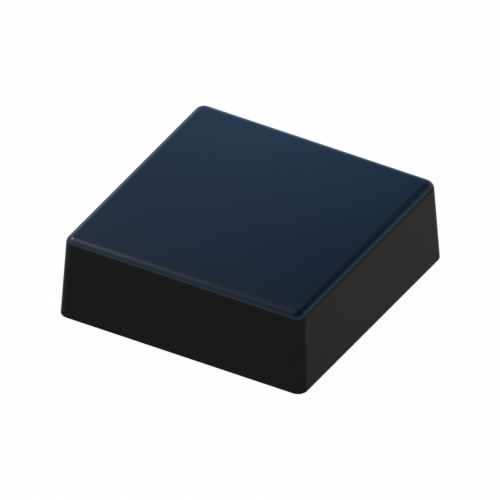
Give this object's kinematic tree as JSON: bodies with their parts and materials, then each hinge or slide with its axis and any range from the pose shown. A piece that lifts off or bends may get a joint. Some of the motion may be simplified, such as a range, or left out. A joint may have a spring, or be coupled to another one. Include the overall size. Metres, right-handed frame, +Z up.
{
  "type": "fence post cap",
  "caption": "Flat square black cap for a square metal fence post: drafted thin shell, hidden adapter sleeve with sprung grip leaves, rubber seat seal and screws from below.",
  "frame": {"origin": "middle of the rim plane that the cap stands on", "axes": "+Z up towards the flat top; the square's sides lie along X and Y; front is -Y"},
  "size_m": [0.0762, 0.0762, 0.0254],
  "materials": {
    "black_coat": "black powder coat, satin, very fine grain",
    "black_nylon": "moulded, black, dull",
    "black_rubber": "black, matt",
    "spring_steel": "stainless strip, brushed along its length",
    "screw_steel": "bright zinc plate"
  },
  "bodies": {
    "cap": {"cap_shell": "black_coat", "post_adapter": "black_nylon", "post_seal": "black_rubber", "adapter_screws": "screw_steel"},
    "front_spring": {"grip_spring_front": "spring_steel"},
    "back_spring": {"grip_spring_back": "spring_steel"},
    "left_spring": {"grip_spring_left": "spring_steel"},
    "right_spring": {"grip_spring_right": "spring_steel"}
  },
  "joints": [
    {"name": "front_spring_flex", "type": "hinge", "parent": "cap", "child": "front_spring", "pos_m": [0, -0.0323, 0.01875], "axis": [-1, 0, 0], "range_deg": [0, 6], "stiffness_Nm_per_rad": 3.3},
    {"name": "back_spring_flex", "type": "hinge", "parent": "cap", "child": "back_spring", "pos_m": [0, 0.0323, 0.01875], "axis": [1, 0, 0], "range_deg": [0, 6], "stiffness_Nm_per_rad": 3.3},
    {"name": "left_spring_flex", "type": "hinge", "parent": "cap", "child": "left_spring", "pos_m": [-0.0323, 0, 0.01875], "axis": [0, 1, 0], "range_deg": [0, 6], "stiffness_Nm_per_rad": 3.3},
    {"name": "right_spring_flex", "type": "hinge", "parent": "cap", "child": "right_spring", "pos_m": [0.0323, 0, 0.01875], "axis": [0, -1, 0], "range_deg": [0, 6], "stiffness_Nm_per_rad": 3.3}
  ]
}
